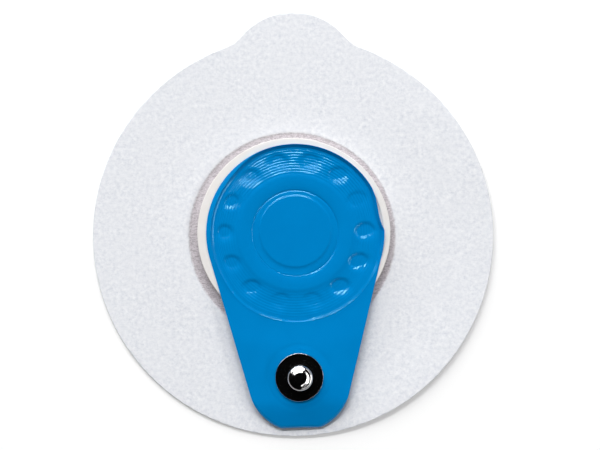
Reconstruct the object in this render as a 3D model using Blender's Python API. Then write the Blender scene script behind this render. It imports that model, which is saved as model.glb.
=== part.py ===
"""Offset-snap ECG monitoring electrode: a nonwoven adhesive pad with a grip tab, a foam ring round a
gel pad, a formed blue cover whose neck carries the snap stud, and the strip that joins gel to stud.

Metres, +Z up. The origin is the middle of the pad's circle on the face that lies on the skin,
+Y points to the grip tab and the snap stud stands on the -Y side.
"""

import math

import bmesh
import bpy
from mathutils import Matrix, Vector

# Clearances
SEAT_GAP = 0.0003           # adhesive line left between two layers, and round a piece in its hole

# Nonwoven pad
PAD_RADIUS = 0.0340
PAD_THICKNESS = 0.00055
TAB_RISE = 0.0040           # how far the grip tab stands out beyond the pad's circle
TAB_RADIUS = 0.0115
TAB_FILLET = 0.0070         # hollow curve where the tab runs into the pad
PRESSED_RADIUS = 0.0175     # round area pressed down for the foam ring
PRESSED_DEPTH = 0.00015
PRESSED_SHIFT = -0.00015    # its middle, to the side of the pad's

# Gel and foam
CORE_RISE = 0.0005          # middle of gel, foam and cover, toward the grip tab
GEL_RADIUS = 0.0110
FOAM_RADIUS = 0.0161
FOAM_THICKNESS = 0.0008

# Blue cover, round part
COVER_RADIUS = 0.0151
COVER_THICKNESS = 0.0004
COVER_SHIFT = 0.0004        # its middle, to the side of the pad's
COVER_LEAN = math.radians(1.6)
TRAY_DEPTH = 0.0005         # rim and neck above the floor of the channel
TRAY_WALL_RUN = 0.0006      # width of the sloping wall inside the rim
RIM_LAND = 0.00015          # flat left on top of the rim
CHANNEL_WIDTH = 0.00385
CHANNEL_SLOPE = 0.0008      # width of the slope from the ridge down into the channel
RIDGE_WIDTH = 0.0006
RIDGE_HEIGHT = 0.00022      # above the channel's floor
GROOVE_RISE_RUN = 0.00195   # long outer flank of the pressed groove
GROOVE_FALL_RUN = 0.0009    # short inner flank
GROOVE_DEPTH = 0.00015
DISC_DROP = 0.00003         # middle disc below the ridge
DIMPLE_COUNT = 14
DIMPLE_DEPTH = 0.0002
DIMPLE_RADIUS = 0.0019
DIMPLE_BITE = 0.0003        # how far a dimple reaches into the foot of the ridge
DIMPLE_START = math.radians(-0.6)
DENT_DEPTH = 0.00055        # kink in the rim
DENT_ANGLE = math.radians(10.9)
DENT_HALF_WIDTH = math.radians(17.5)

# Blue cover, neck
NECK_END_INSET = 0.00145    # the neck's cut end inside the pad's edge
NECK_END_RADIUS = 0.00865
NECK_END_CUT = 0.0007       # taken off the round end by the straight cut
STUD_SET_BACK = 0.0007      # from the middle of the round end to the snap's axis

# Sensing strip
STRIP_THICKNESS = 0.00015
STRIP_WIDTH = 0.0045
SENSOR_RADIUS = 0.0050
STRIP_END_RADIUS = 0.0038
STRIP_STEP_RUN = 0.0007     # length over which the strip climbs to the neck
SLOT_SIDE_GAP = 0.0003      # beside the strip in the gel and the foam

# Snap eyelet, below the neck
EYELET_RADIUS = 0.0050
EYELET_THICKNESS = 0.00035
EYELET_EDGE = 0.0001        # rounding of its flange
POST_RADIUS = 0.0010
POST_REACH = 0.0022         # of the post above the stud's seat

# Snap stud, above the neck
STUD_FLANGE_RADIUS = 0.00415
STUD_FACE_HEIGHT = 0.00035  # flange face above the stud's seat
STUD_RIM_WIDTH = 0.00026    # rolled rim round the face
STUD_RIM_RISE = 0.00022     # rim above the face
STUD_WALL = 0.0003          # shell round the post
STUD_FOOT_FILLET = 0.00035
STUD_NECK_HEIGHT = 0.0012   # from the seat to where the head swells
STUD_HEAD_RADIUS = 0.0021
STUD_HEAD_HEIGHT = 0.0023
STUD_CROWN_RADIUS = 0.00145
STUD_CROWN_ROUND = 0.0009   # height of the curve from the head's widest ring to its crown

# Facets
RING_SEGMENTS = 96
SNAP_SEGMENTS = 48
DIMPLE_SEGMENTS = 20
ARC_STEP = math.radians(4.0)

# Levels that follow from the sizes above
foam_base = PAD_THICKNESS - PRESSED_DEPTH + SEAT_GAP
core_top = foam_base + FOAM_THICKNESS
cover_base = core_top + SEAT_GAP
channel_level = cover_base + COVER_THICKNESS
neck_base = cover_base + TRAY_DEPTH
neck_top = channel_level + TRAY_DEPTH
strip_low = core_top - STRIP_THICKNESS
strip_high = neck_base - SEAT_GAP - STRIP_THICKNESS
slot_floor = strip_low - SEAT_GAP
eyelet_top = strip_high - SEAT_GAP
stud_seat = neck_top + SEAT_GAP

# Plan sizes that follow
hole_radius = GEL_RADIUS + SEAT_GAP
neck_cut_reach = NECK_END_RADIUS - NECK_END_CUT
neck_length = PAD_RADIUS - NECK_END_INSET + CORE_RISE - neck_cut_reach
stud_offset = neck_length - STUD_SET_BACK
wall_top_radius = COVER_RADIUS - RIM_LAND
wall_foot_radius = wall_top_radius - TRAY_WALL_RUN
channel_inner = wall_foot_radius - CHANNEL_WIDTH
ridge_outer = channel_inner - CHANNEL_SLOPE
ridge_inner = ridge_outer - RIDGE_WIDTH
groove_radius = ridge_inner - GROOVE_RISE_RUN
disc_radius = groove_radius - GROOVE_FALL_RUN
bore_radius = POST_RADIUS + SEAT_GAP
understep_radius = COVER_RADIUS + SEAT_GAP
strip_step_start = understep_radius + SEAT_GAP


def linear(hex_colour):
    """Linear RGBA from an sRGB hex string."""
    rgb = [int(hex_colour[i:i + 2], 16) / 255 for i in (0, 2, 4)]
    return [c / 12.92 if c <= 0.04045 else ((c + 0.055) / 1.055) ** 2.4 for c in rgb] + [1.0]


def make_material(name, hex_colour, roughness, metallic=0.0):
    material = bpy.data.materials.new(name)
    material.use_nodes = True
    shader = material.node_tree.nodes["Principled BSDF"]
    shader.inputs["Base Color"].default_value = linear(hex_colour)
    shader.inputs["Roughness"].default_value = roughness
    shader.inputs["Metallic"].default_value = metallic
    material.diffuse_color = linear(hex_colour)
    return material


def finish(name, bm, parent, material=None, smooth=True):
    """Turn a bmesh into an object under its frame."""
    bmesh.ops.remove_doubles(bm, verts=bm.verts, dist=1e-7)
    bmesh.ops.recalc_face_normals(bm, faces=bm.faces)
    mesh = bpy.data.meshes.new(name)
    bm.to_mesh(mesh)
    bm.free()
    if smooth:
        mesh.shade_smooth()
        mesh.set_sharp_from_angle(angle=math.radians(30))
    obj = bpy.data.objects.new(name, mesh)
    bpy.context.scene.collection.objects.link(obj)
    obj.parent = parent
    if material:
        mesh.materials.append(material)
    return obj


def arc(cx, cy, radius, start, end, step=ARC_STEP):
    """Points along an arc, both ends included. Runs clockwise where end is below start."""
    count = max(2, math.ceil(abs(end - start) / step))
    angles = [start + (end - start) * i / count for i in range(count + 1)]
    return [(cx + radius * math.cos(a), cy + radius * math.sin(a)) for a in angles]


def bezier(p0, p1, p2, count):
    """Points of a quadratic curve from p0 to p2, the first left out."""
    points = []
    for i in range(1, count + 1):
        t = i / count
        points.append(tuple((1 - t) ** 2 * a + 2 * t * (1 - t) * b + t * t * c for a, b, c in zip(p0, p1, p2)))
    return points


def plate(name, outline, base, top, parent, material=None):
    """A flat outline drawn in plan and extruded upward."""
    bm = bmesh.new()
    face = bm.faces.new([bm.verts.new((x, y, base)) for x, y in outline])
    raised = bmesh.ops.extrude_face_region(bm, geom=[face])["geom"]
    verts = [v for v in raised if isinstance(v, bmesh.types.BMVert)]
    bmesh.ops.translate(bm, verts=verts, vec=(0, 0, top - base))
    return finish(name, bm, parent, material)


def spun(bm, profile, segments, closed=False):
    """Spin a radius and height profile about Z."""
    verts = [bm.verts.new((r, 0, z)) for r, z in profile]
    pairs = list(zip(verts, verts[1:])) + ([(verts[-1], verts[0])] if closed else [])
    edges = [bm.edges.new(pair) for pair in pairs]
    bmesh.ops.spin(bm, geom=verts + edges, cent=(0, 0, 0), axis=(0, 0, 1), angle=2 * math.pi,
                   steps=segments, use_merge=True)
    bmesh.ops.remove_doubles(bm, verts=bm.verts, dist=1e-7)


def lathe(name, profile, segments, parent, material=None, closed=False):
    bm = bmesh.new()
    spun(bm, profile, segments, closed)
    return finish(name, bm, parent, material)


def cylinder(name, radius, base, top, parent, segments=RING_SEGMENTS):
    return lathe(name, [(0, base), (radius, base), (radius, top), (0, top)], segments, parent)


def cut(target, cutter):
    """Keep a live Boolean that takes the cutter out of the target."""
    cutter.hide_render = True
    cutter.display_type = "WIRE"
    modifier = target.modifiers.new(cutter.name, "BOOLEAN")
    modifier.operation = "DIFFERENCE"
    modifier.solver = "EXACT"
    modifier.object = cutter


def frame_empty(name, x, y, turn=0.0, parent=None):
    empty = bpy.data.objects.new(name, None)
    empty.empty_display_size = 0.01
    empty.location = (x, y, 0)
    empty.rotation_euler = (0, 0, turn)
    empty.parent = parent
    bpy.context.scene.collection.objects.link(empty)
    return empty


def pad_outline():
    """Pad circle and tab arc, joined by a hollow fillet on each side."""
    tab_y = PAD_RADIUS + TAB_RISE - TAB_RADIUS
    far, near = PAD_RADIUS + TAB_FILLET, TAB_RADIUS + TAB_FILLET
    fillet_y = (far ** 2 - near ** 2 + tab_y ** 2) / (2 * tab_y)
    fillet_x = math.sqrt(far ** 2 - fillet_y ** 2)
    to_pad = math.atan2(fillet_y, fillet_x)
    to_tab = math.atan2(fillet_y - tab_y, fillet_x)
    points = arc(0, 0, PAD_RADIUS, math.pi - to_pad, 2 * math.pi + to_pad, ARC_STEP * 0.75)
    points += arc(fillet_x, fillet_y, TAB_FILLET, to_pad + math.pi, to_tab + math.pi)[1:]
    points += arc(0, tab_y, TAB_RADIUS, to_tab, math.pi - to_tab, ARC_STEP * 1.5)[1:]
    points += arc(-fillet_x, fillet_y, TAB_FILLET, -to_tab, -to_pad)[1:-1]
    return points


def dented(x, y, share=1.0):
    """Move a point of the rim inward where the cover's edge is kinked."""
    angle = math.atan2(y, x)
    across = abs(angle - DENT_ANGLE) / DENT_HALF_WIDTH
    if across >= 1:
        return x, y
    radius = math.hypot(x, y)
    inner = radius - share * DENT_DEPTH * 0.5 * (1 + math.cos(math.pi * across))
    return x * inner / radius, y * inner / radius


def cover_outline():
    """Round part and neck end with their common tangents, the end cut straight."""
    tangent = -math.asin((COVER_RADIUS - NECK_END_RADIUS) / neck_length)
    half_cut = math.acos(neck_cut_reach / NECK_END_RADIUS)
    points = [dented(x, y) for x, y in arc(0, 0, COVER_RADIUS, tangent, math.pi - tangent)]
    points += arc(0, -neck_length, NECK_END_RADIUS, math.pi - tangent, 1.5 * math.pi - half_cut)
    points += arc(0, -neck_length, NECK_END_RADIUS, 1.5 * math.pi + half_cut, 2 * math.pi + tangent)
    return points


def tray_cutter(parent):
    """What is pressed out of the cover: disc, groove, ridge, channel and sloping wall."""
    ridge = channel_level + RIDGE_HEIGHT
    disc = ridge - DISC_DROP
    groove = ridge - GROOVE_DEPTH
    profile = [(0, disc), (disc_radius, disc)]
    profile += bezier((disc_radius, disc), (groove_radius - GROOVE_FALL_RUN * 0.35, disc), (groove_radius, groove), 3)
    profile += bezier((groove_radius, groove), (groove_radius + GROOVE_RISE_RUN * 0.4, ridge), (ridge_inner, ridge), 3)
    profile += [(ridge_outer, ridge)]
    half = (ridge_outer + CHANNEL_SLOPE / 2, (ridge + channel_level) / 2)
    profile += bezier((ridge_outer, ridge), (ridge_outer + CHANNEL_SLOPE * 0.25, ridge), half, 2)
    profile += bezier(half, (channel_inner - CHANNEL_SLOPE * 0.25, channel_level), (channel_inner, channel_level), 2)
    profile += [(wall_foot_radius, channel_level), (wall_top_radius, neck_top)]
    clear = neck_top + TRAY_DEPTH
    profile += [(wall_top_radius, clear), (0, clear)]
    bm = bmesh.new()
    spun(bm, profile, RING_SEGMENTS)
    for vert in bm.verts:
        if math.hypot(vert.co.x, vert.co.y) > (channel_inner + wall_foot_radius) / 2:
            vert.co.x, vert.co.y = dented(vert.co.x, vert.co.y)
    return finish("tray_cutter", bm, parent)


def dimple_cutter(parent):
    """A ring of shallow lenses that leave round dimples in the channel's floor."""
    ring_radius = channel_inner + DIMPLE_RADIUS - DIMPLE_BITE
    lip = RIDGE_HEIGHT
    profile = [(DIMPLE_RADIUS * i / 3, -DIMPLE_DEPTH * (1 - (i / 3) ** 2)) for i in range(4)]
    profile += [(DIMPLE_RADIUS, lip), (0, lip)]
    bm = bmesh.new()
    for k in range(DIMPLE_COUNT):
        one = bmesh.new()
        spun(one, profile, DIMPLE_SEGMENTS)
        angle = DIMPLE_START + 2 * math.pi * k / DIMPLE_COUNT
        place = Vector((ring_radius * math.cos(angle), ring_radius * math.sin(angle), channel_level))
        bmesh.ops.transform(one, matrix=Matrix.Translation(place), verts=one.verts)
        mesh = bpy.data.meshes.new("dimple")
        one.to_mesh(mesh)
        one.free()
        bm.from_mesh(mesh)
        bpy.data.meshes.remove(mesh)
    return finish("dimple_cutter", bm, parent)


def strip_outline(margin=0.0, end=None):
    """Half width of the strip at stations from the sensor's top edge down the neck."""
    half = STRIP_WIDTH / 2 + margin
    head = SENSOR_RADIUS + margin
    meet = math.asin(min(1.0, half / head))
    stations = [(-head * math.cos(a), head * math.sin(a)) for a in
                [math.radians(6) + (math.pi - meet - math.radians(6)) * i / 20 for i in range(21)]]
    if end is not None:
        return stations + [(end, half)]
    steps = [strip_step_start, strip_step_start + STRIP_STEP_RUN]
    stations += [(s, half) for s in steps]
    tail = STRIP_END_RADIUS
    leave = math.asin(min(1.0, half / tail))
    stations += [(stud_offset - tail * math.cos(a), tail * math.sin(a)) for a in
                 [leave + (math.pi - math.radians(6) - leave) * i / 16 for i in range(17)]]
    return stations


def strip_body(name, stations, parent, level, thickness, material=None):
    """Loft a flat strip along -Y through its stations, each with its own height."""
    bm = bmesh.new()
    rows = []
    for s, half in stations:
        low = level(s)
        corners = ((-half, low), (half, low), (half, low + thickness), (-half, low + thickness))
        rows.append([bm.verts.new((x, -s, z)) for x, z in corners])
    for a, b in zip(rows, rows[1:]):
        for i in range(4):
            j = (i + 1) % 4
            bm.faces.new((a[i], a[j], b[j], b[i]))
    bm.faces.new(rows[0])
    bm.faces.new(rows[-1])
    return finish(name, bm, parent, material)


def strip_level(s):
    climb = (s - strip_step_start) / STRIP_STEP_RUN
    return strip_low + (strip_high - strip_low) * min(1.0, max(0.0, climb))


def stud_profile():
    """Hollow snap: rolled flange, foot fillet, neck and swelled head, closed at the crown."""
    seat, face = stud_seat, stud_seat + STUD_FACE_HEIGHT
    rim_top = face + STUD_RIM_RISE
    neck = bore_radius + STUD_WALL
    rim_mid = (seat + rim_top) / 2
    edge_run = STUD_RIM_WIDTH
    inner_edge = STUD_FLANGE_RADIUS - edge_run
    points = [(bore_radius, seat), (inner_edge, seat)]
    points += bezier(points[-1], (STUD_FLANGE_RADIUS, seat), (STUD_FLANGE_RADIUS, rim_mid), 3)
    points += bezier(points[-1], (STUD_FLANGE_RADIUS, rim_top), (STUD_FLANGE_RADIUS - edge_run / 2, rim_top), 3)
    points += bezier(points[-1], (inner_edge, rim_top), (inner_edge, face), 2)
    foot = (neck + STUD_FOOT_FILLET, face)
    points += [foot]
    points += bezier(foot, (neck, face), (neck, face + STUD_FOOT_FILLET), 3)
    head_base = seat + STUD_NECK_HEIGHT
    crown = head_base + STUD_HEAD_HEIGHT
    widest = crown - STUD_CROWN_ROUND
    points += [(neck, head_base)]
    points += bezier(points[-1], (STUD_HEAD_RADIUS, head_base), (STUD_HEAD_RADIUS, widest), 5)
    points += bezier(points[-1], (STUD_HEAD_RADIUS, crown), (STUD_CROWN_RADIUS, crown), 5)
    points += [(0, crown)]
    roof = seat + POST_REACH + SEAT_GAP
    return points + [(0, roof), (bore_radius, roof)]


def eyelet_profile():
    """Flat flange with a rounded edge and the post that passes up into the stud."""
    low, top = eyelet_top - EYELET_THICKNESS, eyelet_top
    post_top = stud_seat + POST_REACH
    points = [(0, low), (EYELET_RADIUS - EYELET_EDGE, low)]
    points += bezier(points[-1], (EYELET_RADIUS, low), (EYELET_RADIUS, low + EYELET_EDGE), 2)
    points += [(EYELET_RADIUS, top - EYELET_EDGE)]
    points += bezier(points[-1], (EYELET_RADIUS, top), (EYELET_RADIUS - EYELET_EDGE, top), 2)
    return points + [(POST_RADIUS, top), (POST_RADIUS, post_top), (0, post_top)]


def main():
    for obj in list(bpy.data.objects):
        bpy.data.objects.remove(obj, do_unlink=True)

    nonwoven = make_material("nonwoven_fabric", "E6E9EE", 0.9)
    foam_plastic = make_material("white_foam", "ECF0F2", 0.7)
    gel = make_material("clear_gel", "DCE6E8", 0.15)
    film = make_material("blue_film", "027EC5", 0.35)
    silver = make_material("silver_coat", "8D8B88", 0.45, 0.6)
    nickel = make_material("nickel_plate", "C9CACC", 0.15, 1.0)

    clear = PAD_THICKNESS
    electrode = frame_empty("electrode", 0, 0)
    core = frame_empty("core_frame", 0, CORE_RISE, parent=electrode)
    leaning = frame_empty("cover_frame", COVER_SHIFT, CORE_RISE, COVER_LEAN, electrode)
    snap = frame_empty("snap_frame", 0, -stud_offset, parent=leaning)

    pad = plate("backing_pad", pad_outline(), 0, PAD_THICKNESS, electrode, nonwoven)
    pressed = cylinder("pressed_cutter", PRESSED_RADIUS, PAD_THICKNESS - PRESSED_DEPTH, PAD_THICKNESS + clear, electrode)
    pressed.location.x = PRESSED_SHIFT
    cut(pad, pressed)
    cut(pad, cylinder("gel_hole_cutter", hole_radius, -clear, PAD_THICKNESS + clear, core))

    slot = strip_body("slot_cutter", strip_outline(SLOT_SIDE_GAP, FOAM_RADIUS + TAB_RISE), leaning,
                      lambda s: slot_floor, core_top + clear - slot_floor)

    ring_section = [(hole_radius, foam_base), (FOAM_RADIUS, foam_base), (FOAM_RADIUS, core_top), (hole_radius, core_top)]
    foam = lathe("foam_ring", ring_section, RING_SEGMENTS, core, foam_plastic, closed=True)
    cut(foam, slot)

    gel_pad = cylinder("gel_pad", GEL_RADIUS, 0, core_top, core)
    gel_pad.data.materials.append(gel)
    cut(gel_pad, slot)

    cover = plate("cover", cover_outline(), cover_base, neck_top, leaning, film)
    beyond = neck_length + 2 * NECK_END_RADIUS
    under = [(understep_radius, cover_base - clear), (beyond, cover_base - clear), (beyond, neck_base),
             (understep_radius, neck_base)]
    cut(cover, lathe("under_neck_cutter", under, RING_SEGMENTS, leaning, closed=True))
    cut(cover, tray_cutter(leaning))
    cut(cover, dimple_cutter(leaning))
    post_hole = cylinder("post_hole_cutter", bore_radius, -clear, neck_top + clear, snap, SNAP_SEGMENTS)
    cut(cover, post_hole)

    strip = strip_body("sensor_strip", strip_outline(), leaning, strip_level, STRIP_THICKNESS, silver)
    cut(strip, post_hole)

    lathe("snap_stud", stud_profile(), SNAP_SEGMENTS, snap, nickel, closed=True)
    lathe("snap_eyelet", eyelet_profile(), SNAP_SEGMENTS, snap, nickel)


main()
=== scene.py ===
import math

import bmesh
import bpy
from mathutils import Matrix, Vector, noise


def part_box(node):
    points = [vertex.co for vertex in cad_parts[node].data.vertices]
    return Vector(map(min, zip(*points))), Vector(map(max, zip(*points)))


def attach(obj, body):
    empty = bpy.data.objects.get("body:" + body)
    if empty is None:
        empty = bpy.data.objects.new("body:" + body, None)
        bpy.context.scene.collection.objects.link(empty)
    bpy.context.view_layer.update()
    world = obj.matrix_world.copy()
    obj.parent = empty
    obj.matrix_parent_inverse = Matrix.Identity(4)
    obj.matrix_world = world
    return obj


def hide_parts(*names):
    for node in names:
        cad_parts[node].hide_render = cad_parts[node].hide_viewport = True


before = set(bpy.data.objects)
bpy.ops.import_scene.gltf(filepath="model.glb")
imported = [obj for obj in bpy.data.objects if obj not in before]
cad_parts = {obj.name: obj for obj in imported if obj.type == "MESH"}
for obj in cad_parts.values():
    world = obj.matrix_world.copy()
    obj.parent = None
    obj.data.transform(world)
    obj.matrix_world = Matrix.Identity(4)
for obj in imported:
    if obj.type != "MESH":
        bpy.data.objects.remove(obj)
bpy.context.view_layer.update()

MM = 0.001
CLOSE = 0.001 * MM    # places this near count as the same
HAIR = 0.01 * MM

# Places that the cover, the foam and the snap share
CORE_CENTRE = Vector((0, 0.5, 0)) * MM
COVER_CENTRE = Vector((0.4, 0.5, 0)) * MM
COVER_LEAN = math.radians(1.6)    # the neck points a little to the right
STUD_OFFSET = 24.4 * MM           # from the cover's centre to the snap, along the neck

# Levels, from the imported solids
tape_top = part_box("backing_pad")[1].z
pad_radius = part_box("backing_pad")[1].x
cover_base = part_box("cover")[0].z
cover_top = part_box("cover")[1].z
gel_radius = (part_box("gel_pad")[1].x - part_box("gel_pad")[0].x) / 2
foam_radius = (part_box("foam_ring")[1].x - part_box("foam_ring")[0].x) / 2
strip_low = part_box("sensor_strip")[0].z
strip_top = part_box("sensor_strip")[1].z
eyelet_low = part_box("snap_eyelet")[0].z
post_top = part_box("snap_eyelet")[1].z
crown_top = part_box("snap_stud")[1].z

# Cover
COVER_RADIUS = 15.1 * MM
COVER_STEPS = 360
FILM = 0.4 * MM
FILM_LEAST = 0.015 * MM        # what the deepest dimples leave of the film
TRAY_DEPTH = 0.5 * MM
RIM_LAND = 0.08 * MM
WALL_RUN = 0.45 * MM
LAND_EXTRA_LEFT = 0.68 * MM    # the tray is pressed off centre, so the rim is wider on the left,
LEFT_DIP = 0.33 * MM           # and low there, with a thin bead on its inner edge
LEFT_TURN = math.radians(172)
BEAD_HEIGHT = 0.11 * MM
BEAD_WIDTH = 0.15 * MM
CHANNEL_INNER = 10.5 * MM
CHANNEL_FALL = 0.05            # slope of the channel's floor, down toward the rim
PULL_FROM = CHANNEL_INNER + 1.5 * MM    # from here out the channel is pulled along with the rim
RIDGE_INNER = 9.1 * MM
RIDGE_HEIGHT = 0.15 * MM
GROOVE_RADIUS = 7.15 * MM
GROOVE_DEPTH = 0.17 * MM
SCORE_RADIUS = GROOVE_RADIUS + 0.1 * MM
SCORE_DEPTH = 0.06 * MM        # a fine score in the groove's floor,
SCORE_RISE = 0.045 * MM        # nearly gone at the lower left
SCORE_TURN = math.radians(-118)
DISC_RADIUS = 6.05 * MM
DISC_SHIFT = 0.3 * MM          # the disc is pressed a little above the groove's middle
DISC_DROP = 0.03 * MM
LINE_PITCH = 0.46 * MM
LINE_HEIGHT = 0.0178 * MM
LINES_FROM = 9.9 * MM
LINES_TO = 14.3 * MM
LINES_TURN = math.radians(97)  # the turned lines are clearest here, near the tab,
LINES_LEAST = 0.3              # and keep this share of their height at the sides
DIMPLES = 14
DIMPLE_RING = 12.1 * MM
DIMPLE_RADIUS = 2.0 * MM
DIMPLE_SQUASH = 0.82           # height of a dimple for its width
DIMPLE_DEPTH = 0.25 * MM
DIMPLE_START = math.radians(-0.6)
DIMPLE_WALL = 1.2 * MM         # longer toward the snap and shorter toward the tab,
WALL_SKEW = 0.4                # by this share,
WALL_SKEW_LOW = 0.12           # and by this much more in the lower dimples
WALL_CUT_RIGHT = 0.38          # the right dimples have a steeper left wall
SHALLOW_DIMPLE = 1             # this one, counted anticlockwise from the right, is pressed less
SHALLOW_SHARE = 0.55
LOWEST_SHARE = 0.5             # and so are the two beside the neck
DENT_DEPTH = 0.6 * MM          # the rim is dented on the right, most at a third of the dent's width
DENT_SCALE = 6.75              # makes the dent's curve 1 where it is deepest
DENT_FROM = math.radians(0.5)
DENT_TO = math.radians(31)
NECK_LENGTH = 25.1 * MM
NECK_END_RADIUS = 8.65 * MM
NECK_END_CUT = 0.7 * MM
NECK_END_CHAMFER = 0.27 * MM
NECK_ROWS = 64
NECK_END_ROWS = 6
NECK_ROOT_DIP = 0.335 * MM     # the neck leaves the tray low and climbs to the snap,
NECK_DROOP = 1.5 * MM          # bends down at its end
NECK_CROWN = 0.12 * MM         # and falls a little toward its sides
NECK_SIDE_RISE = 0.15 * MM     # the tray is shallower where the neck leaves it,
NECK_SIDE_PUSH = 0.27 * MM     # its wall steeper,
NECK_WALL_CUT = 0.15 * MM      # and on both sides of the neck's middle line almost gone
CREASE_RADIUS = 5.4 * MM       # the eyelet below shows as a fine crease in the film
CREASE_WIDTH = 0.25 * MM
CREASE_DEPTH = 0.045 * MM

channel_level = cover_base + FILM
neck_base = cover_base + TRAY_DEPTH
wall_top = COVER_RADIUS - RIM_LAND
wall_foot = wall_top - WALL_RUN
neck_end_y = -NECK_LENGTH - NECK_END_RADIUS + NECK_END_CUT


def smoothstep(low, high, value):
    share = min(1.0, max(0.0, (value - low) / (high - low)))
    return share * share * (3 - 2 * share)


def linear(hex_colour):
    """Linear RGBA from an sRGB hex string."""
    rgb = [int(hex_colour[i:i + 2], 16) / 255 for i in (0, 2, 4)]
    return [c / 12.92 if c <= 0.04045 else ((c + 0.055) / 1.055) ** 2.4 for c in rgb] + [1.0]


def arc(centre, radius, start, end, count):
    """Points along an arc in any plane, both ends included."""
    turns = [start + (end - start) * i / count for i in range(count + 1)]
    return [(centre[0] + radius * math.cos(a), centre[1] + radius * math.sin(a)) for a in turns]


def bezier(p0, p1, p2, count):
    """Points of a quadratic curve from p0 to p2, the first left out."""
    points = []
    for i in range(1, count + 1):
        t = i / count
        first, bend, last = (1 - t) ** 2, 2 * t * (1 - t), t * t
        points.append(tuple(first * a + bend * b + last * c for a, b, c in zip(p0, p1, p2)))
    return points


def evenly(path, count):
    """Points along a path, both its ends included, with count equal steps between them."""
    lengths = [0]
    for a, b in zip(path, path[1:]):
        lengths.append(lengths[-1] + math.dist(a, b))
    points = []
    k = 0
    for i in range(count + 1):
        goal = lengths[-1] * i / count
        while k < len(path) - 2 and lengths[k + 1] < goal:
            k += 1
        share = (goal - lengths[k]) / (lengths[k + 1] - lengths[k])
        points.append([a + (b - a) * share for a, b in zip(path[k], path[k + 1])])
    return points


def lathe(name, profile, steps, closed=False):
    """Draw a profile of radius and height by extruding one vertex, and spin it about Z."""
    bpy.ops.object.select_all(action="DESELECT")
    bpy.ops.mesh.primitive_plane_add(size=MM)
    piece = bpy.context.object
    piece.name = piece.data.name = name
    bpy.ops.object.mode_set(mode="EDIT")
    bpy.ops.mesh.select_mode(type="VERT")
    bpy.ops.mesh.merge(type="CENTER")
    bpy.ops.transform.translate(value=(profile[0][0], 0, profile[0][1]))
    for (r0, z0), (r1, z1) in zip(profile, profile[1:] + (profile[:1] if closed else [])):
        bpy.ops.mesh.extrude_vertices_move(TRANSFORM_OT_translate={"value": (r1 - r0, 0, z1 - z0)})
    bpy.ops.mesh.select_all(action="SELECT")
    bpy.ops.mesh.remove_doubles(threshold=1e-7)
    bpy.ops.mesh.spin(steps=steps, angle=math.tau, center=(0, 0, 0), axis=(0, 0, 1))
    bpy.ops.mesh.select_all(action="SELECT")
    bpy.ops.mesh.remove_doubles(threshold=1e-7)
    bpy.ops.mesh.normals_make_consistent(inside=False)
    bpy.ops.object.mode_set(mode="OBJECT")
    return piece


def place(piece, location, turn=0.0):
    """Put a piece modelled about the origin in its place, and leave its object at the origin."""
    bpy.ops.object.select_all(action="DESELECT")
    piece.select_set(True)
    bpy.context.view_layer.objects.active = piece
    piece.location = location
    piece.rotation_euler = (0, 0, turn)
    bpy.ops.object.transform_apply(location=True, rotation=True, scale=True)


def smooth(piece, degrees=35):
    bpy.ops.object.select_all(action="DESELECT")
    piece.select_set(True)
    bpy.context.view_layer.objects.active = piece
    bpy.ops.object.shade_smooth_by_angle(angle=math.radians(degrees))


def bevel(piece, width, degrees, segments=2):
    bpy.ops.object.select_all(action="DESELECT")
    piece.select_set(True)
    bpy.context.view_layer.objects.active = piece
    rounding = piece.modifiers.new("rounding", "BEVEL")
    rounding.width = width
    rounding.segments = segments
    rounding.limit_method = "ANGLE"
    rounding.angle_limit = math.radians(degrees)
    bpy.ops.object.modifier_apply(modifier="rounding")


# Cover

def cover_profile():
    """Half section of the formed film's upper face, from the middle to the rim's outer edge."""
    ridge = channel_level + RIDGE_HEIGHT
    disc = ridge - DISC_DROP
    groove = ridge - GROOVE_DEPTH
    score = groove - SCORE_DEPTH
    points = [(0, disc), (DISC_RADIUS * 0.5, disc), (DISC_RADIUS * 0.9, disc), (DISC_RADIUS - 0.2 * MM, disc)]

    def curve(bend, end, count):
        points.extend(bezier(points[-1], bend, end, count))

    curve((DISC_RADIUS - 0.04 * MM, disc), (DISC_RADIUS + 0.08 * MM, (disc + groove) / 2), 5)
    curve((DISC_RADIUS + 0.3 * MM, groove), (DISC_RADIUS + 0.55 * MM, groove), 5)
    points.append((GROOVE_RADIUS - 0.1 * MM, groove))
    curve((GROOVE_RADIUS + 0.05 * MM, score), (SCORE_RADIUS, score), 4)
    curve((GROOVE_RADIUS + 0.15 * MM, score), (GROOVE_RADIUS + 0.25 * MM, groove + 0.02 * MM), 4)
    curve((GROOVE_RADIUS + 0.9 * MM, ridge), (RIDGE_INNER, ridge), 10)
    points.append((RIDGE_INNER + 0.15 * MM, ridge))
    half = ((RIDGE_INNER + CHANNEL_INNER) / 2 + 0.2 * MM, (ridge + channel_level) / 2)
    points += bezier((RIDGE_INNER + 0.3 * MM, ridge), (half[0] - 0.35 * MM, ridge), half, 8)
    curve((CHANNEL_INNER, channel_level), (CHANNEL_INNER + 0.3 * MM, channel_level), 8)

    # Rows close enough for the turned lines
    fine = LINE_PITCH / 9
    start, stop = points[-1][0], wall_foot - 0.12 * MM
    count = round((stop - start) / fine)
    points += [(start + (stop - start) * i / count, channel_level) for i in range(1, count + 1)]

    # The tray's wall, from its foot to the rim
    foot = (wall_foot + 0.08 * MM, channel_level + 0.11 * MM)
    lip = (wall_top - 0.08 * MM, cover_top - 0.11 * MM)
    curve((wall_foot, channel_level), foot, 6)
    curve(((foot[0] + lip[0]) / 2, (foot[1] + lip[1]) / 2), lip, 8)
    curve((wall_top, cover_top), (wall_top + 0.04 * MM, cover_top), 8)
    points.append((COVER_RADIUS, cover_top))
    return points


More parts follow.
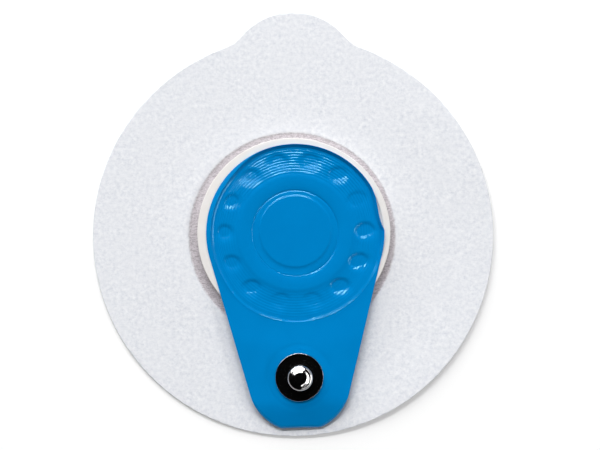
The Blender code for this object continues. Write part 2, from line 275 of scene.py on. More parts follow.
def neck_end(count):
    """Points along the neck's end, from its right tangent round to the left one, evenly spaced."""
    tangent = -math.asin((COVER_RADIUS - NECK_END_RADIUS) / NECK_LENGTH)
    half_cut = math.acos(1 - NECK_END_CUT / NECK_END_RADIUS)
    middle = (0, -NECK_LENGTH)
    right = arc(middle, NECK_END_RADIUS, tangent, -math.pi / 2 + half_cut, 60)
    left = [(-x, y) for x, y in reversed(right)]
    return evenly(right + left, count)


def line_height(radius, angle):
    """The turned lines in the channel, at one place: they fade at its two edges and away from the tab."""
    fade = smoothstep(LINES_FROM, LINES_FROM + 0.4 * MM, radius)
    fade *= 1 - smoothstep(LINES_TO - 0.25 * MM, LINES_TO, radius)
    by_tab = smoothstep(0.1, 0.75, math.cos(angle - LINES_TURN))
    by_neck = smoothstep(0.7, 0.95, -math.sin(angle))
    fade *= LINES_LEAST + (1 - LINES_LEAST) * by_tab + 0.15 * by_neck
    return LINE_HEIGHT * fade * math.cos(math.tau * (radius - LINES_FROM) / LINE_PITCH)


def dimple_depth(x, y):
    """How deep the ring of dimples is pressed at one place."""
    pressed = 0.0
    for k in range(DIMPLES):
        turn = DIMPLE_START + math.tau * k / DIMPLES
        beside, over = x - DIMPLE_RING * math.cos(turn), y - DIMPLE_RING * math.sin(turn)
        away = max(1e-9, math.hypot(DIMPLE_SQUASH * beside, over))
        low, right = max(0.0, -math.sin(turn)), max(0.0, math.cos(turn))
        wall = DIMPLE_WALL * (1 - (WALL_SKEW + WALL_SKEW_LOW * low) * over / away)
        wall *= 1 - WALL_CUT_RIGHT * right * max(0.0, -beside / away)
        depth = DIMPLE_DEPTH * (0.94 + 0.06 * math.cos(turn) + 0.06 * math.sin(turn))
        if k == SHALLOW_DIMPLE:
            depth *= SHALLOW_SHARE
        depth *= 1 - LOWEST_SHARE * smoothstep(0.8, 0.97, low)
        climb = max(0.0, min(1.0, (away - DIMPLE_RADIUS + wall) / wall))
        pressed += depth * (1 - smoothstep(0, 1, climb ** 0.6))
    return pressed


def neck_drop(x, y, radius, on_top):
    """How far the neck lies below a flat one: its bend, rounded end, sides and the crease round the snap."""
    drop = NECK_DROOP * smoothstep(NECK_LENGTH + 3 * MM, NECK_LENGTH + 1.3 * NECK_END_RADIUS, -y)
    inside = max(0.0, min(NECK_END_RADIUS - math.hypot(x, y + NECK_LENGTH), y - neck_end_y))
    if on_top and inside < NECK_END_CHAMFER:
        by_end = smoothstep(NECK_LENGTH + 2.6 * MM, NECK_LENGTH + 5 * MM, -y)
        drop += by_end * (NECK_END_CHAMFER - inside)
    half_width = COVER_RADIUS + (NECK_END_RADIUS - COVER_RADIUS) * min(1.0, -y / NECK_LENGTH)
    on_neck = smoothstep(COVER_RADIUS, COVER_RADIUS + 4 * MM, radius)
    drop += on_neck * NECK_CROWN * min(1.0, abs(x) / half_width) ** 4
    away = math.hypot(x, y + STUD_OFFSET)
    return drop + CREASE_DEPTH * math.exp(-((away - CREASE_RADIUS) / CREASE_WIDTH) ** 2)


def shape_cover(mesh):
    """Press in what isn't turned: lines, dimples, the tray's place in the rim, the dent and the bend."""
    for vert in mesh.vertices:
        x, y, z = vert.co
        radius, angle = math.hypot(x, y), math.atan2(y, x)
        low = max(0.0, -math.sin(angle))
        upper = z > cover_base + 0.1 * MM
        on_top = z > cover_top - CLOSE
        if upper and radius < wall_foot + CLOSE:
            z += line_height(radius, angle)
            z -= dimple_depth(x, y)
        if upper and abs(radius - SCORE_RADIUS) < 0.14 * MM:
            z += SCORE_RISE * smoothstep(0.5, 0.9, math.cos(angle - SCORE_TURN))

        # The rim dips on the left and where the neck leaves it
        leftness = smoothstep(0.45, 0.9, math.cos(angle - LEFT_TURN))
        dip = max(NECK_ROOT_DIP * smoothstep(0.05, 0.4, low), LEFT_DIP * leftness)
        dip *= 1 - smoothstep(COVER_RADIUS, COVER_RADIUS + 6 * MM, radius)
        if upper and wall_foot < radius < wall_top:
            z -= dip * min(1.0, max(0.0, (z - channel_level) / TRAY_DEPTH))
        elif radius > wall_foot and (upper or radius > COVER_RADIUS + HAIR):
            z -= dip

        # The channel's floor falls toward the rim, and rises again by the neck
        low_wall = smoothstep(0.004, 0.02, 1 + math.sin(angle)) * smoothstep(0.3, 0.6, low)
        if upper and CHANNEL_INNER < radius < wall_top and z < cover_top - CLOSE:
            sunk = max(0.0, min(1.0, (cover_top - z) / TRAY_DEPTH))
            z -= sunk * CHANNEL_FALL * (min(radius, wall_foot) - CHANNEL_INNER)
            z += sunk * NECK_SIDE_RISE * smoothstep(CHANNEL_INNER, wall_foot, radius) * low ** 0.6
            z += sunk * NECK_WALL_CUT * low_wall * smoothstep(LINES_TO - 2 * MM, wall_foot, radius)
            z = max(z, cover_base + FILM_LEAST)

        # The tray's wall moves in on the left, its foot moves out by the neck, and the rim is dented
        pull = smoothstep(PULL_FROM, wall_foot, radius)
        if upper and PULL_FROM < radius < COVER_RADIUS - HAIR:
            z += BEAD_HEIGHT * leftness * math.exp(-((radius - wall_top + 0.02 * MM) / BEAD_WIDTH) ** 2)
            push = smoothstep(LINES_TO, wall_foot, radius) * (1 - smoothstep(wall_foot, wall_top, radius))
            inner = radius - pull * leftness * LAND_EXTRA_LEFT
            inner += NECK_SIDE_PUSH * push * (1 - low_wall) * smoothstep(0.3, 0.8, low)
            x, y = x * inner / radius, y * inner / radius
        across = (angle - DENT_FROM) / (DENT_TO - DENT_FROM)
        if 0 < across < 1 and radius > PULL_FROM:
            inner = 1 - pull * DENT_DEPTH * DENT_SCALE * across * (1 - across) ** 2 / radius
            x, y = x * inner, y * inner

        if upper:
            y += DISC_SHIFT * (1 - smoothstep(DISC_RADIUS + 0.5 * MM, GROOVE_RADIUS - 0.05 * MM, radius))
        if radius > COVER_RADIUS + HAIR:
            z -= neck_drop(x, y, radius, on_top)
        vert.co = (x, y, z)


def make_cover():
    cover = lathe("formed_cover", cover_profile(), COVER_STEPS)
    bpy.ops.object.mode_set(mode="EDIT")
    bpy.ops.mesh.select_mode(type="EDGE")
    bpy.ops.mesh.select_all(action="DESELECT")
    bpy.ops.mesh.select_non_manifold()
    bpy.ops.mesh.extrude_edges_move(TRANSFORM_OT_translate={"value": (0, 0, neck_base - cover_top)})
    bpy.ops.mesh.extrude_edges_move(TRANSFORM_OT_translate={"value": (0, 0, cover_base - neck_base)})
    bpy.ops.mesh.edge_face_add()

    # The neck is drawn out of the rim's upper band between its two tangents
    bpy.ops.mesh.select_mode(type="FACE")
    bpy.ops.mesh.select_all(action="DESELECT")
    tangent = math.asin((COVER_RADIUS - NECK_END_RADIUS) / NECK_LENGTH)
    step = math.tau / COVER_STEPS
    first = -round(tangent / step) * step
    drawn = bmesh.from_edit_mesh(cover.data)
    columns = round((math.pi + 2 * first) / step)
    for face in drawn.faces:
        middle = face.calc_center_median()
        angle = math.atan2(middle.y, middle.x)
        on_rim = math.hypot(middle.x, middle.y) > COVER_RADIUS - RIM_LAND / 3
        facing_neck = -math.pi - first < angle < first
        face.select = bool(on_rim and facing_neck and neck_base < middle.z < cover_top)
    bpy.ops.mesh.extrude_region_move(TRANSFORM_OT_translate={"value": (0, -NECK_LENGTH, 0)})
    drawn = bmesh.from_edit_mesh(cover.data)
    end = neck_end(columns)
    moved = [vert for vert in drawn.verts if vert.select]
    for vert in moved:
        angle = math.atan2(vert.co.y + NECK_LENGTH, vert.co.x)
        column = round((first - angle) / step)
        vert.co.x, vert.co.y = end[column]
    bpy.ops.mesh.select_mode(type="EDGE")
    drawn = bmesh.from_edit_mesh(cover.data)
    marked = set(v.index for v in drawn.verts if math.hypot(*v.co.xy) > COVER_RADIUS * 1.0001)
    for edge in drawn.edges:
        a, b = (v.index in marked for v in edge.verts)
        edge.select = a != b
    bpy.ops.mesh.subdivide(number_cuts=NECK_ROWS - 1)

    # Finer rows at the neck's end, where its edge is rounded over
    drawn = bmesh.from_edit_mesh(cover.data)
    on_end = set()
    for vert in drawn.verts:
        on_arc = abs(math.hypot(vert.co.x, vert.co.y + NECK_LENGTH) - NECK_END_RADIUS) < 0.03 * MM
        if on_arc and vert.co.y < -NECK_LENGTH + 2.6 * MM or abs(vert.co.y - neck_end_y) < CLOSE:
            on_end.add(vert.index)
    for edge in drawn.edges:
        edge.select = sum(v.index in on_end for v in edge.verts) == 1
    bpy.ops.mesh.subdivide(number_cuts=NECK_END_ROWS - 1)
    bpy.ops.mesh.select_all(action="SELECT")
    bpy.ops.mesh.normals_make_consistent(inside=False)
    bpy.ops.object.mode_set(mode="OBJECT")
    shape_cover(cover.data)
    bevel(cover, 0.1 * MM, 60)
    smooth(cover)
    place(cover, COVER_CENTRE, COVER_LEAN)
    return cover


# Tape

TAB_RISE = 4.0 * MM
TAB_RADIUS = 11.5 * MM
TAB_FILLET = 7.0 * MM
HOLE_RADIUS = 11.3 * MM
PRESS_CENTRE = Vector((-0.15, 0, 0)) * MM
PRESSED_RADIUS = 17.5 * MM     # the tape is pressed down and bonded inside this circle
PRESSED_DEPTH = 0.15 * MM
PRESSED_SLOPE = 0.12 * MM
EDGE_LIFT = 1.0 * MM           # the free edge curls up,
CURL_TURN = math.radians(-17)  # most of all here, a little below the right,
CURL_LEAST = 0.16              # and by this share on the left
CURL_FROM = 21 * MM
CURL_TO = 36 * MM
CLUMP_HEIGHT = 0.022 * MM      # soft waves in the tape
CLUMP_SCALE = 1700             # waves to the metre
FIBRE_HEIGHT = 0.012 * MM      # and finer ones where it isn't pressed
FIBRE_SCALE = 4100
TAPE_COLUMNS = 560
PRESSED_ROWS = 12
FREE_ROWS = 52
UNDER_ROWS = 20


def tape_outline():
    """Pad circle and tab arc with their hollow fillets, evenly spaced, anticlockwise."""
    tab_y = pad_radius + TAB_RISE - TAB_RADIUS
    far, near = pad_radius + TAB_FILLET, TAB_RADIUS + TAB_FILLET
    fillet_y = (far ** 2 - near ** 2 + tab_y ** 2) / (2 * tab_y)
    fillet_x = math.sqrt(far ** 2 - fillet_y ** 2)
    to_pad = math.atan2(fillet_y, fillet_x)
    to_tab = math.atan2(fillet_y - tab_y, fillet_x)
    path = arc((0, 0), pad_radius, math.pi - to_pad, math.tau + to_pad, 400)
    path += arc((fillet_x, fillet_y), TAB_FILLET, to_pad + math.pi, to_tab + math.pi, 40)[1:]
    path += arc((0, tab_y), TAB_RADIUS, to_tab, math.pi - to_tab, 120)[1:]
    path += arc((-fillet_x, fillet_y), TAB_FILLET, -to_tab, -to_pad, 40)[1:]
    return [Vector((x, y, 0)) for x, y in evenly(path, TAPE_COLUMNS)[:-1]]


def tape_lift(point):
    """How far the free margin curls off what it lies on."""
    radius = math.hypot(point.x, point.y)
    angle = math.atan2(point.y, point.x)
    by_curl = smoothstep(0.2, 0.9, math.cos(angle - CURL_TURN))
    wave = CURL_LEAST + (1 - CURL_LEAST) * by_curl + 0.05 * math.sin(3 * angle + 0.8)
    return EDGE_LIFT * wave * smoothstep(CURL_FROM, CURL_TO, radius) ** 1.3


def make_tape():
    """The tape as one sheet, in rows from the gel's hole over the pressed edge to the rim, and back below."""
    rows = []
    low = tape_top - PRESSED_DEPTH
    for edge in tape_outline():
        toward = edge.normalized()
        hole = CORE_CENTRE + toward * HOLE_RADIUS
        foot = PRESS_CENTRE + toward * (PRESSED_RADIUS - PRESSED_SLOPE)
        lip = PRESS_CENTRE + toward * (PRESSED_RADIUS + PRESSED_SLOPE)
        top = [(hole.lerp(foot, i / PRESSED_ROWS), low) for i in range(PRESSED_ROWS + 1)]
        top += [(foot.lerp(lip, t), low + PRESSED_DEPTH * smoothstep(0, 1, t)) for t in (0.3, 0.6)]
        at_lip = len(top)
        top += [(lip.lerp(edge, i / FREE_ROWS), tape_top) for i in range(FREE_ROWS + 1)]
        rim = top[-1][0]
        top[-1] = (rim, tape_top - 0.08 * MM)
        top.insert(-1, (rim - toward * 0.06 * MM, tape_top))
        under = [(hole.lerp(edge, 1 - i / UNDER_ROWS), 0.0) for i in range(UNDER_ROWS + 1)]
        points = []
        for i, (point, height) in enumerate(top + under):
            relief = 0.0
            if 0 < i < len(top) - 1:
                relief = CLUMP_HEIGHT * noise.noise(point * CLUMP_SCALE)
            if at_lip < i < len(top) - 1:
                relief += FIBRE_HEIGHT * noise.noise(point * FIBRE_SCALE)
            points.append((point.x, point.y, height + relief + tape_lift(point)))
        rows.append(points)
    bm = bmesh.new()
    grid = [[bm.verts.new(p) for p in points] for points in rows]
    for a, b in zip(grid, grid[1:] + grid[:1]):
        for i in range(len(a)):
            j = (i + 1) % len(a)
            bm.faces.new((a[i], b[i], b[j], a[j]))
    bmesh.ops.recalc_face_normals(bm, faces=bm.faces)
    mesh = bpy.data.meshes.new("nonwoven_tape")
    bm.to_mesh(mesh)
    bm.free()
    piece = bpy.data.objects.new("nonwoven_tape", mesh)
    bpy.context.scene.collection.objects.link(piece)
    smooth(piece, 50)
    return piece


# Foam and gel

FOAM_BULGE = 0.5 * MM        # the foam is cut a little wider toward +X,
FOAM_SHIFT = 0.1 * MM        # and lies a little to the left
FOAM_LIP = 0.4 * MM          # its edge stands up beside the cover


def make_foam():
    low, high = tape_top - PRESSED_DEPTH, cover_base + FOAM_LIP
    inner, outer = HOLE_RADIUS, foam_radius
    recess = COVER_RADIUS - 0.12 * MM
    soft = 0.12 * MM
    profile = [(inner, low), (outer - soft, low)]
    profile += bezier(profile[-1], (outer, low), (outer, low + soft), 4)
    profile.append((outer, high - soft))
    profile += bezier(profile[-1], (outer, high), (outer - soft, high), 4)
    profile += [(recess, high), (recess, cover_base), (inner, cover_base)]
    foam = lathe("foam_collar", profile, 256, closed=True)
    for vert in foam.data.vertices:
        if vert.co.xy.length < COVER_RADIUS:
            vert.co.x += COVER_CENTRE.x
        else:
            vert.co.x += FOAM_BULGE * max(0.0, vert.co.x / foam_radius) ** 2 - FOAM_SHIFT
    smooth(foam, 50)
    place(foam, CORE_CENTRE)
    return foam


def make_gel():
    high = strip_low - 0.01 * MM
    wide = gel_radius + 0.2 * MM
    soft = 0.25 * MM
    profile = [(0, 0.02 * MM), (wide * 0.6, 0.01 * MM), (wide - soft, 0)]
    profile += bezier(profile[-1], (wide, 0), (wide, soft), 5)
    profile += [(wide, high - 0.1 * MM)]
    profile += bezier(profile[-1], (wide, high), (wide - 0.1 * MM, high), 4)
    profile += [(0, high)]
    gel = lathe("gel_disc", profile, 192)
    smooth(gel, 50)
    place(gel, CORE_CENTRE)
    return gel


# Snap

SNAP_STEPS = 128
STUD_SEAT = 3.0 * MM           # the flange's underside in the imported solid
STUD_FLANGE = 4.15 * MM
STUD_FACE = 0.35 * MM
STUD_CHAMFER = 0.1 * MM
FLANGE_SINK = 0.15 * MM        # the riveted flange is pressed down on the film
STUD_NECK = 1.6 * MM
STUD_FILLET = 0.35 * MM
STUD_BORE = 1.3 * MM
STUD_ROOF = STUD_SEAT + 2.5 * MM
STUD_HEAD = 2.1 * MM
HEAD_BASE = STUD_SEAT + 1.2 * MM
HEAD_SHIFT = 0.15 * MM         # the head was drawn a little off the flange's middle
HEAD_ROWS = 60
# Slopes of the head's top from its middle out, in degrees at a share of its radius
HEAD_SLOPES = ((0, 0), (0.44, 2), (0.48, 9), (0.52, 24), (0.58, 26), (0.7, 27),
               (0.73, 18), (0.82, 20), (0.88, 27), (0.94, 36), (0.98, 50), (1.0, 70))
EYELET_RADIUS = 5.0 * MM
EYELET_POST = 1.0 * MM


def stud_profile():
    seat, face = cover_top, STUD_SEAT + STUD_FACE - FLANGE_SINK
    points = [(STUD_BORE, seat), (STUD_FLANGE - 0.2 * MM, seat)]
    points += bezier(points[-1], (STUD_FLANGE, seat), (STUD_FLANGE, seat + 0.12 * MM), 6)
    flat = STUD_FLANGE - STUD_CHAMFER
    points += [(flat, face - 0.02 * MM), (flat - 0.025 * MM, face), (flat - 0.04 * MM, face)]
    points.append((STUD_NECK + STUD_FILLET, face))
    points += bezier(points[-1], (STUD_NECK, face), (STUD_NECK, face + STUD_FILLET), 6)
    head, z = [(0, crown_top)], crown_top
    for i in range(HEAD_ROWS):
        share = (i + 0.5) / HEAD_ROWS
        k = next(k for k in range(1, len(HEAD_SLOPES)) if HEAD_SLOPES[k][0] >= share)
        (r0, s0), (r1, s1) = HEAD_SLOPES[k - 1], HEAD_SLOPES[k]
        slope = s0 + (s1 - s0) * (share - r0) / (r1 - r0)
        z -= math.tan(math.radians(slope)) * STUD_HEAD / HEAD_ROWS
        head.append(((i + 1) / HEAD_ROWS * STUD_HEAD, z))
    points.append((STUD_NECK, HEAD_BASE))
    points += bezier(points[-1], (STUD_HEAD, HEAD_BASE), (STUD_HEAD, z - 0.3 * MM), 10)
    points += reversed(head)
    return points + [(0, STUD_ROOF), (STUD_BORE, STUD_ROOF)]


def make_stud():
    stud = lathe("stud_shell", stud_profile(), SNAP_STEPS, closed=True)
    for vert in stud.data.vertices:
        vert.co.x += HEAD_SHIFT * smoothstep(STUD_SEAT + STUD_FACE, HEAD_BASE, vert.co.z)
    smooth(stud, 40)
    place(stud, snap_place())
    return stud


def make_eyelet():
    low, high = eyelet_low, strip_top - 0.15 * MM
    hollow = low + 0.05 * MM
    edge = 0.12 * MM
    profile = [(0, hollow), (1.0 * MM, hollow)]
    profile += bezier(profile[-1], (1.3 * MM, hollow), (1.5 * MM, low), 5)
    profile.append((EYELET_RADIUS - edge, low))
    profile += bezier(profile[-1], (EYELET_RADIUS, low), (EYELET_RADIUS, low + edge), 5)
    profile.append((EYELET_RADIUS, high - edge))
    profile += bezier(profile[-1], (EYELET_RADIUS, high), (EYELET_RADIUS - edge, high), 5)
    profile += [(EYELET_POST, high), (EYELET_POST, post_top), (0, post_top)]
    eyelet = lathe("eyelet_shell", profile, SNAP_STEPS)
    smooth(eyelet, 40)
    place(eyelet, snap_place())
    return eyelet


def snap_place():
    return COVER_CENTRE + Matrix.Rotation(COVER_LEAN, 4, "Z") @ Vector((0, -STUD_OFFSET, 0))


# Materials
# A Mix node takes its two colours at inputs 6 and 7, and gives the mixed one at output 2

def add(tree, kind, inputs=None, **settings):
    """Add a node. Its inputs take values or the sockets that feed them."""
    node = tree.nodes.new(kind)
    for key, value in settings.items():
        setattr(node, key, value)
    for key, value in (inputs or {}).items():
        if isinstance(value, bpy.types.NodeSocket):
            tree.links.new(value, node.inputs[key])
        else:
            node.inputs[key].default_value = value
    return node


def new_material(name, **sockets):
    """A material with its shader, and Object coordinates in millimetres."""
    material = bpy.data.materials.new(name)
    material.use_nodes = True
    tree = material.node_tree
    shader = tree.nodes["Principled BSDF"]
    for key, value in sockets.items():
        shader.inputs[key.replace("_", " ")].default_value = value
    place_of = add(tree, "ShaderNodeTexCoord")
    millimetres = add(tree, "ShaderNodeMapping",
                      {"Vector": place_of.outputs["Object"], "Scale": (1 / MM, 1 / MM, 1 / MM)})
    return material, tree, shader, millimetres.outputs["Vector"]


def nonwoven_fabric():
    """White spunlaced polyester: random fibres pressed flat, matt, greyer in a band round the foam's edge."""
    material, tree, shader, mm = new_material("spunlaced_polyester", Roughness=0.85)
    cloud = add(tree, "ShaderNodeTexNoise", {"Vector": mm, "Scale": 0.35, "Detail": 3})
    mottle = add(tree, "ShaderNodeTexNoise", {"Vector": mm, "Scale": 1.6, "Detail": 4, "Roughness": 0.65})

    # Fibres lie in four directions, drawn coarser than the real ones so that they show
    fibres = None
    for degrees, stretch in ((10, 5), (58, 6), (103, 5), (149, 6)):
        turned = add(tree, "ShaderNodeMapping", {"Vector": mm, "Rotation": (0, 0, math.radians(degrees)),
                                                 "Scale": (4.5 / stretch, 4.5, 1)})
        wave = add(tree, "ShaderNodeTexNoise", {"Vector": turned.outputs["Vector"], "Scale": 1.0, "Detail": 2,
                                                "Distortion": 0.6})
        ridge = add(tree, "ShaderNodeMath", {0: wave.outputs["Fac"], 1: 0.5}, operation="SUBTRACT")
        ridge = add(tree, "ShaderNodeMath", {0: ridge.outputs[0]}, operation="ABSOLUTE")
        line = add(tree, "ShaderNodeMapRange", {"Value": ridge.outputs[0], "From Min": 0.0, "From Max": 0.045,
                                                "To Min": 1.0, "To Max": 0.0})
        if fibres is None:
            fibres = line
        else:
            fibres = add(tree, "ShaderNodeMath", {0: fibres.outputs[0], 1: line.outputs[0]},
                         operation="MAXIMUM")
    weave = fibres.outputs[0]
    tone = add(tree, "ShaderNodeMapRange", {"Value": mottle.outputs["Fac"], "From Min": 0.3, "From Max": 0.7})
    body = add(tree, "ShaderNodeMix", {0: tone.outputs[0], 6: linear("C6CBD6"), 7: linear("FCFDFF")},
               data_type="RGBA")
    body = add(tree, "ShaderNodeMix", {0: cloud.outputs["Fac"], 6: body.outputs[2], 7: linear("E7E9EE")},
               data_type="RGBA")
    strand = add(tree, "ShaderNodeMath", {0: weave, 1: 0.35}, operation="MULTIPLY")
    body = add(tree, "ShaderNodeMix", {0: strand.outputs[0], 6: body.outputs[2], 7: linear("F4F5F8")},
               data_type="RGBA")

    # A greyer band round the foam, its edge broken up by the fibres
    centred = add(tree, "ShaderNodeVectorMath", {0: mm, 1: PRESS_CENTRE / MM}, operation="SUBTRACT")
    flat = add(tree, "ShaderNodeVectorMath", {0: centred.outputs[0], 1: (1, 1, 0)}, operation="MULTIPLY")
    away = add(tree, "ShaderNodeVectorMath", {0: flat.outputs[0]}, operation="LENGTH")
    ragged = add(tree, "ShaderNodeMath", {0: mottle.outputs["Fac"], 1: 0.5, 2: away.outputs["Value"]},
                 operation="MULTIPLY_ADD")
    margin = PRESSED_RADIUS / MM
    grey_band = add(tree, "ShaderNodeMapRange", {"Value": ragged.outputs[0], "From Min": margin + 0.1,
                                            "From Max": margin + 0.45, "To Min": 1.0, "To Max": 0.0})
    level = add(tree, "ShaderNodeSeparateXYZ", {"Vector": mm})
    upper = add(tree, "ShaderNodeMath", {0: level.outputs["Z"], 1: 0.2}, operation="GREATER_THAN")
    grey_band = add(tree, "ShaderNodeMath", {0: grey_band.outputs[0], 1: upper.outputs[0]}, operation="MULTIPLY")
    dark = add(tree, "ShaderNodeMix", {0: weave, 6: linear("A29BA1"), 7: linear("DDD7DC")}, data_type="RGBA")
    body = add(tree, "ShaderNodeMix", {0: grey_band.outputs[0], 6: body.outputs[2], 7: dark.outputs[2]},
               data_type="RGBA")
    tree.links.new(body.outputs[2], shader.inputs["Base Color"])

    height = add(tree, "ShaderNodeMath", {0: weave, 1: 0.5, 2: mottle.outputs["Fac"]},
                 operation="MULTIPLY_ADD")
    bump = add(tree, "ShaderNodeBump", {"Height": height.outputs[0], "Strength": 0.5, "Distance": 0.03 * MM})
    tree.links.new(bump.outputs["Normal"], shader.inputs["Normal"])
    return material


def closed_cell_foam():
    """Polyethylene foam with a skin: white with a warm tint, matt, fine cells just showing."""
    material, tree, shader, mm = new_material("polyethylene_foam", Roughness=0.6)
    cells = add(tree, "ShaderNodeTexVoronoi", {"Vector": mm, "Scale": 5.0})
    cloud = add(tree, "ShaderNodeTexNoise", {"Vector": mm, "Scale": 0.6, "Detail": 3})
    tint = add(tree, "ShaderNodeMix", {0: cloud.outputs["Fac"], 6: linear("E4E0DC"), 7: linear("EEECEA")},
               data_type="RGBA")
    tree.links.new(tint.outputs[2], shader.inputs["Base Color"])
    bump = add(tree, "ShaderNodeBump", {"Height": cells.outputs["Distance"], "Strength": 0.3,
                                        "Distance": 0.02 * MM})
    tree.links.new(bump.outputs["Normal"], shader.inputs["Normal"])
    return material


def formed_film():
    """Blue polypropylene film, vacuum formed: dyed through, even, and satin, so it catches lines of light."""
    material, tree, shader, mm = new_material("formed_polypropylene", IOR=1.49,
                                              Specular_Tint=linear("A6EDFF"))
    cloud = add(tree, "ShaderNodeTexNoise", {"Vector": mm, "Scale": 0.25, "Detail": 3})
    tint = add(tree, "ShaderNodeMix", {0: cloud.outputs["Fac"], 6: linear("007FC5"), 7: linear("0086CD")},
               data_type="RGBA")
    tree.links.new(tint.outputs[2], shader.inputs["Base Color"])
    grain = add(tree, "ShaderNodeTexNoise", {"Vector": mm, "Scale": 6.0, "Detail": 4})
    gloss = add(tree, "ShaderNodeMapRange", {"Value": grain.outputs["Fac"], "To Min": 0.09, "To Max": 0.15})
    tree.links.new(gloss.outputs[0], shader.inputs["Roughness"])
    bump = add(tree, "ShaderNodeBump", {"Height": grain.outputs["Fac"], "Strength": 0.15,
                                        "Distance": 0.01 * MM})
    tree.links.new(bump.outputs["Normal"], shader.inputs["Normal"])
    return material


def nickel_plate():
    """Pressed brass, nickel plated and polished: a mirror, a little hazy in places."""
    material, tree, shader, mm = new_material("nickel_plated_brass", Metallic=1.0)
    haze = add(tree, "ShaderNodeTexNoise", {"Vector": mm, "Scale": 3.0, "Detail": 5})
    tint = add(tree, "ShaderNodeMix", {0: haze.outputs["Fac"], 6: linear("C6C5C4"), 7: linear("D6D6D8")},
               data_type="RGBA")
    tree.links.new(tint.outputs[2], shader.inputs["Base Color"])
    gloss = add(tree, "ShaderNodeMapRange", {"Value": haze.outputs["Fac"], "To Min": 0.06, "To Max": 0.16})
    tree.links.new(gloss.outputs[0], shader.inputs["Roughness"])
    return material


def hydrogel():
    """Clear conductive hydrogel: wet, faintly cloudy."""
    material, tree, shader, mm = new_material("hydrogel", IOR=1.36, Transmission_Weight=0.85)
    cloud = add(tree, "ShaderNodeTexNoise", {"Vector": mm, "Scale": 0.5, "Detail": 3})
    tint = add(tree, "ShaderNodeMix", {0: cloud.outputs["Fac"], 6: linear("DCE6E8"), 7: linear("EEF3F3")},
               data_type="RGBA")
    tree.links.new(tint.outputs[2], shader.inputs["Base Color"])
    gloss = add(tree, "ShaderNodeMapRange", {"Value": cloud.outputs["Fac"], "To Min": 0.05, "To Max": 0.16})
    tree.links.new(gloss.outputs[0], shader.inputs["Roughness"])
    return material


def silver_ink():
    """Silver and silver chloride ink on film: grey, half matt, slightly grainy."""
    material, tree, shader, mm = new_material("silver_chloride_ink", Metallic=0.5)
    grain = add(tree, "ShaderNodeTexNoise", {"Vector": mm, "Scale": 8.0, "Detail": 4})
    tint = add(tree, "ShaderNodeMix", {0: grain.outputs["Fac"], 6: linear("7F7D7B"), 7: linear("A3A19D")},
               data_type="RGBA")
    tree.links.new(tint.outputs[2], shader.inputs["Base Color"])
    gloss = add(tree, "ShaderNodeMapRange", {"Value": grain.outputs["Fac"], "To Min": 0.35, "To Max": 0.6})
    tree.links.new(gloss.outputs[0], shader.inputs["Roughness"])
    bump = add(tree, "ShaderNodeBump", {"Height": grain.outputs["Fac"], "Strength": 0.3,
                                        "Distance": 0.01 * MM})
    tree.links.new(bump.outputs["Normal"], shader.inputs["Normal"])
    return material


def dress(piece, material, slot, *nodes):
    piece.data.materials.clear()
    piece.data.materials.append(material)
    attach(piece, "root")
    if nodes:
        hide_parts(*nodes)


nickel = nickel_plate()
tape = make_tape()
dress(tape, nonwoven_fabric(), "nonwoven", "backing_pad")
foam = make_foam()
dress(foam, closed_cell_foam(), "foam", "foam_ring")
gel = make_gel()
dress(gel, hydrogel(), "gel", "gel_pad")
cover = make_cover()
dress(cover, formed_film(), "blue_film", "cover")
stud = make_stud()
dress(stud, nickel, "nickel", "snap_stud")
eyelet = make_eyelet()
dress(eyelet, nickel, "nickel", "snap_eyelet")
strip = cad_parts["sensor_strip"]
strip.data.materials.clear()
strip.data.materials.append(silver_ink())


# Floor, light and camera

CAMERA_PLACE = Vector((1.19 * MM, 1.87 * MM, 0.4505))
FRAME_WIDTH = 102 * MM      # what the photograph's width covers at the pad
FRAME_LEVEL = 0.5 * MM      # and the height where it is measured
SENSOR = 36.0               # width of the camera's sensor in millimetres
FLOOR_GLOW = 0.3            # lifts the paper to white, with the object's shadow kept


def make_floor():
    """Matt white paper, seen a little brighter than it is lit."""
    bpy.ops.object.select_all(action="DESELECT")
    bpy.ops.mesh.primitive_plane_add(size=6, location=(0, 0, -HAIR))
    floor = bpy.context.object
    floor.name = "floor"
    material, tree, shader, _ = new_material("white_paper", Roughness=0.9)
    shader.inputs["Base Color"].default_value = linear("E3E3E3")
    shader.inputs["Specular IOR Level"].default_value = 0.1
    path = add(tree, "ShaderNodeLightPath")
    seen = add(tree, "ShaderNodeMath", {0: path.outputs["Is Camera Ray"], 1: path.outputs["Is Glossy Ray"]},
               operation="MAXIMUM")
    seen = add(tree, "ShaderNodeMath", {0: seen.outputs[0], 1: path.outputs["Is Transmission Ray"]},
               operation="MAXIMUM")
    glow = add(tree, "ShaderNodeMath", {0: seen.outputs[0], 1: FLOOR_GLOW}, operation="MULTIPLY")
    shader.inputs["Emission Color"].default_value = (1, 1, 1, 1)
    tree.links.new(glow.outputs[0], shader.inputs["Emission Strength"])
    floor.data.materials.append(material)


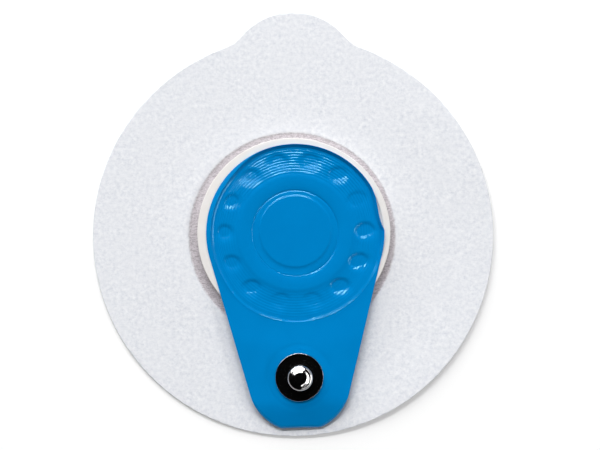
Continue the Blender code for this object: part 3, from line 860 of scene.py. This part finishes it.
def make_lamp(name, degrees, tilt, distance, size, power):
    """An area lamp aimed at the pad, from an azimuth counted from +X and a tilt from straight up."""
    lamp = bpy.data.lights.new(name, "AREA")
    lamp.shape = "RECTANGLE"
    lamp.size, lamp.size_y = size
    lamp.energy = power
    item = bpy.data.objects.new(name, lamp)
    bpy.context.scene.collection.objects.link(item)
    a, t = math.radians(degrees), math.radians(tilt)
    toward = Vector((math.cos(a) * math.sin(t), math.sin(a) * math.sin(t), math.cos(t)))
    item.location = toward * distance
    item.rotation_euler = toward.to_track_quat("Z", "Y").to_euler()


def make_world():
    """A dark ceiling over pale walls."""
    world = bpy.data.worlds.new("studio")
    bpy.context.scene.world = world
    world.use_nodes = True
    tree = world.node_tree
    where = add(tree, "ShaderNodeTexCoord")
    split = add(tree, "ShaderNodeSeparateXYZ", {"Vector": where.outputs["Generated"]})
    height = add(tree, "ShaderNodeMapRange", {"Value": split.outputs["Z"], "From Min": 0.1, "From Max": 0.5,
                                              "To Min": 0.37, "To Max": 0.001})
    tree.links.new(height.outputs[0], tree.nodes["Background"].inputs["Strength"])
    tree.nodes["Background"].inputs["Color"].default_value = (1, 1, 1, 1)


def make_camera():
    camera = bpy.data.cameras.new("camera")
    camera.sensor_width = SENSOR
    camera.lens = SENSOR * (CAMERA_PLACE.z - FRAME_LEVEL) / FRAME_WIDTH
    camera.clip_start = 0.01
    camera.clip_end = 20
    item = bpy.data.objects.new("camera", camera)
    bpy.context.scene.collection.objects.link(item)
    item.location = CAMERA_PLACE
    bpy.context.scene.camera = item


make_floor()
make_world()
make_lamp("key_softbox", degrees=112, tilt=60, distance=1.0, size=(1.2, 1.0), power=10.7)
make_lamp("key_core", degrees=98, tilt=33, distance=0.98, size=(0.7, 0.09), power=4.8)
# Narrow strips on the right give the film and the snap their side glints
for degrees, height, power in ((30, 0.05, 0.6), (-13, 0.1, 1.9), (-56, 0.05, 0.6)):
    make_lamp("side_strip", degrees, tilt=52, distance=1.0, size=(0.75, height), power=power)
make_camera()
bpy.context.scene.view_settings.view_transform = "Standard"
